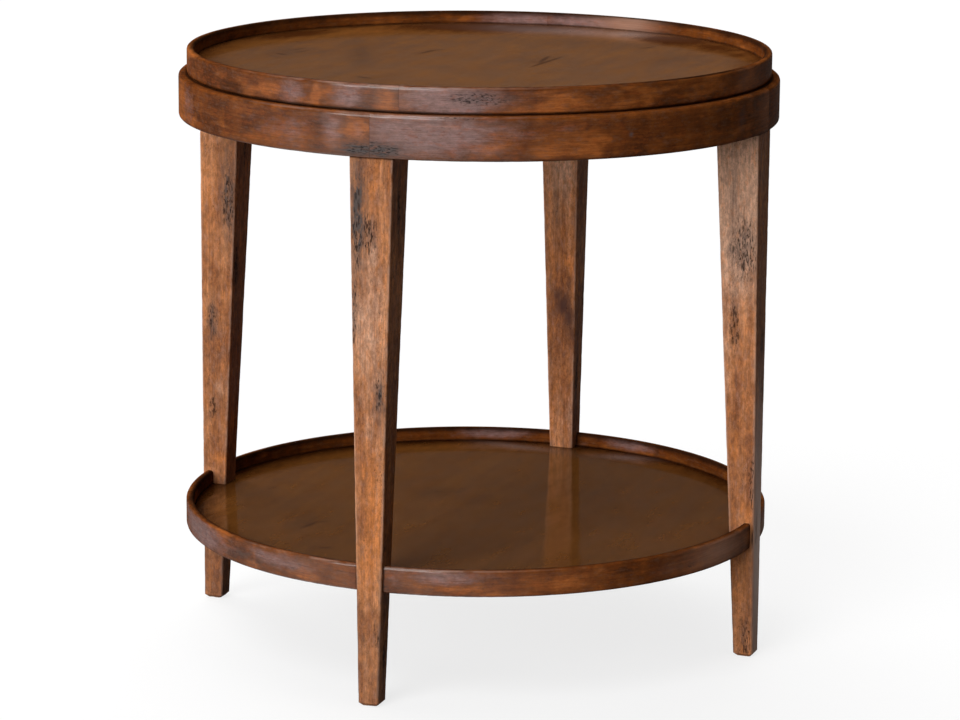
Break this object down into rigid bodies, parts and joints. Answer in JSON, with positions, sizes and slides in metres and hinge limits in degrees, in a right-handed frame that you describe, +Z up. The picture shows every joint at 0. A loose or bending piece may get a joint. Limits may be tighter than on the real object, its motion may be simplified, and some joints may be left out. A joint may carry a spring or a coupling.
{
  "type": "round end table",
  "caption": "Round wooden end table: lipped tray top on a wider round apron, tapered square legs at the compass points, and a lipped shelf low between the legs.",
  "frame": {"origin": "on the floor, on the axis of the round top", "axes": "+Z up along the table's axis; the legs stand on +X (right), +Y (back), -X (left) and -Y (front)"},
  "size_m": [0.61, 0.61, 0.61],
  "materials": {
    "panel_wood": "satin stain, smooth, faint mottling",
    "rim_wood": "satin stain, grain round the curve, worn edges",
    "leg_wood": "satin stain, upright grain, distress pits",
    "block_wood": "bare, sawn",
    "dowel_wood": "bare",
    "screw_steel": "zinc plated"
  },
  "bodies": {
    "root": {"top_panel": "panel_wood", "tray_rim_right": "rim_wood", "tray_rim_left": "rim_wood", "apron_front_right": "rim_wood", "apron_back_right": "rim_wood", "apron_back_left": "rim_wood", "apron_front_left": "rim_wood", "glue_block_front_right": "block_wood", "glue_block_back_right": "block_wood", "glue_block_back_left": "block_wood", "glue_block_front_left": "block_wood", "leg_front": "leg_wood", "leg_right": "leg_wood", "leg_back": "leg_wood", "leg_left": "leg_wood", "shelf_panel": "panel_wood", "shelf_rim_front_right": "rim_wood", "shelf_rim_back_right": "rim_wood", "shelf_rim_back_left": "rim_wood", "shelf_rim_front_left": "rim_wood", "apron_joint_dowels": "dowel_wood", "shelf_dowels": "dowel_wood", "leg_screws": "screw_steel", "block_screws": "screw_steel", "top_screws": "screw_steel"}
  },
  "joints": []
}
